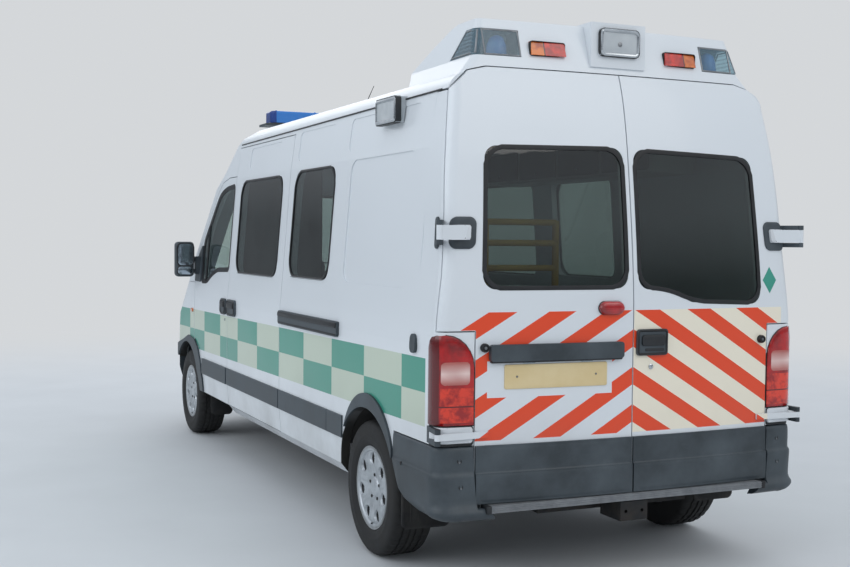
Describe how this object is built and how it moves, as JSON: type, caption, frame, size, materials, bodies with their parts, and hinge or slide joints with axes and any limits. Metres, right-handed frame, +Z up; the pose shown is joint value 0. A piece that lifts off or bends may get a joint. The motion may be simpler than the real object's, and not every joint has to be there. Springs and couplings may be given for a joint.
{
  "type": "van ambulance",
  "caption": "High-roof panel van ambulance with hinged cab and rear doors, bonnet, steered front wheels and rolling wheels.",
  "frame": {"origin": "centre of the footprint on the ground", "axes": "+X to the vehicle's left, -Y to its front, +Z up"},
  "size_m": [2.344, 5.9009, 2.652],
  "materials": {
    "white_paint": "gloss white body paint",
    "dark_plastic": "grained dark grey plastic",
    "black_rail": "black plastic",
    "clear_lamp": "clear moulded lamp lens",
    "window_glass": "tinted window glass",
    "red_lamp": "red lamp lens",
    "amber_lamp": "amber lamp lens",
    "blue_lamp": "blue lamp lens",
    "step_aluminium": "bare aluminium tread strip",
    "underbody_paint": "black underbody coating",
    "chassis_steel": "black chassis paint",
    "engine_iron": "rough cast iron",
    "exhaust_steel": "dull exhaust steel",
    "flap_rubber": "black rubber",
    "cabin_plastic": "grey cabin plastic",
    "seat_fabric": "woven seat fabric",
    "seat_vinyl": "wipe-clean vinyl",
    "ramp_yellow": "yellow and grey ramp paint",
    "tyre_rubber": "black tyre rubber",
    "hubcap_silver": "silver wheel paint"
  },
  "bodies": {
    "root": {"left_side_panel": "white_paint", "right_side_panel": "white_paint", "sliding_door": "white_paint", "roof_panel": "white_paint", "cab_shell": "white_paint", "front_wings": "white_paint", "front_bumper": "dark_plastic", "grille": "dark_plastic", "headlamps": "clear_lamp", "windscreen": "window_glass", "side_windows": "window_glass", "wheel_arch_flares": "dark_plastic", "side_trim": "dark_plastic", "rear_bumper": "dark_plastic", "rear_step": "step_aluminium", "tail_lamps": "red_lamp", "rear_hinges": "white_paint", "roof_light_pod": "white_paint", "blue_lamps": "blue_lamp", "marker_lamps": "amber_lamp", "flood_lamps": "clear_lamp", "light_bar_base": "dark_plastic", "floor_pan": "underbody_paint", "rear_axle": "chassis_steel", "front_subframe": "chassis_steel", "engine_block": "engine_iron", "exhaust": "exhaust_steel", "fuel_tank": "black_rail", "tow_bracket": "chassis_steel", "mudflaps": "flap_rubber", "dashboard": "cabin_plastic", "steering_wheel": "cabin_plastic", "cab_seats": "seat_fabric", "partition": "cabin_plastic", "stretcher": "seat_vinyl", "loading_ramp": "ramp_yellow"},
    "front_left_leaf": {"front_left_door": "white_paint", "front_left_glass": "window_glass", "front_left_trim": "black_rail"},
    "front_right_leaf": {"front_right_door": "white_paint", "front_right_glass": "window_glass", "front_right_trim": "black_rail"},
    "rear_left_leaf": {"rear_left_door": "white_paint", "rear_left_glass": "window_glass", "rear_left_trim": "dark_plastic", "high_brake_lamp": "red_lamp"},
    "rear_right_leaf": {"rear_right_door": "white_paint", "rear_right_glass": "window_glass", "rear_right_trim": "dark_plastic"},
    "bonnet_lid": {"bonnet": "white_paint"},
    "left_steer": {"knuckle_left": "chassis_steel"},
    "right_steer": {"knuckle_right": "chassis_steel"},
    "front_left_wheel": {"front_left_tyre": "tyre_rubber", "front_left_rim": "hubcap_silver"},
    "front_right_wheel": {"front_right_tyre": "tyre_rubber", "front_right_rim": "hubcap_silver"},
    "rear_left_wheel": {"rear_left_tyre": "tyre_rubber", "rear_left_rim": "hubcap_silver"},
    "rear_right_wheel": {"rear_right_tyre": "tyre_rubber", "rear_right_rim": "hubcap_silver"}
  },
  "joints": [
    {"name": "front_left_door_hinge", "type": "hinge", "parent": "root", "child": "front_left_leaf", "pos_m": [0.994, -1.8445, 1], "axis": [0, 0, -1], "range_deg": [0, 65]},
    {"name": "front_right_door_hinge", "type": "hinge", "parent": "root", "child": "front_right_leaf", "pos_m": [-0.994, -1.8445, 1], "axis": [0, 0, 1], "range_deg": [0, 65]},
    {"name": "rear_left_door_hinge", "type": "hinge", "parent": "root", "child": "rear_left_leaf", "pos_m": [1.003, 2.8975, 1.2], "axis": [0, 0, -1], "range_deg": [0, 265]},
    {"name": "rear_right_door_hinge", "type": "hinge", "parent": "root", "child": "rear_right_leaf", "pos_m": [-1.003, 2.8975, 1.2], "axis": [0, 0, 1], "range_deg": [0, 265]},
    {"name": "bonnet_hinge", "type": "hinge", "parent": "root", "child": "bonnet_lid", "pos_m": [0, -2.552, 1.25], "axis": [-1, 0, 0], "range_deg": [0, 50]},
    {"name": "left_steering", "type": "hinge", "parent": "root", "child": "left_steer", "pos_m": [0.765, -2.0735, 0.345], "axis": [0, 0, 1], "range_deg": [-35, 35]},
    {"name": "right_steering", "type": "hinge", "parent": "root", "child": "right_steer", "pos_m": [-0.765, -2.0735, 0.345], "axis": [0, 0, 1], "range_deg": [-35, 35]},
    {"name": "front_left_spin", "type": "hinge", "parent": "left_steer", "child": "front_left_wheel", "pos_m": [0.862, -2.0735, 0.345], "axis": [1, 0, 0], "continuous": true},
    {"name": "front_right_spin", "type": "hinge", "parent": "right_steer", "child": "front_right_wheel", "pos_m": [-0.862, -2.0735, 0.345], "axis": [1, 0, 0], "continuous": true},
    {"name": "rear_left_spin", "type": "hinge", "parent": "root", "child": "rear_left_wheel", "pos_m": [0.862, 2.0045, 0.345], "axis": [1, 0, 0], "continuous": true},
    {"name": "rear_right_spin", "type": "hinge", "parent": "root", "child": "rear_right_wheel", "pos_m": [-0.862, 2.0045, 0.345], "axis": [1, 0, 0], "continuous": true}
  ],
  "couplings": [
    {"joint": "right_steering", "follows": "left_steering", "ratio": 1}
  ]
}
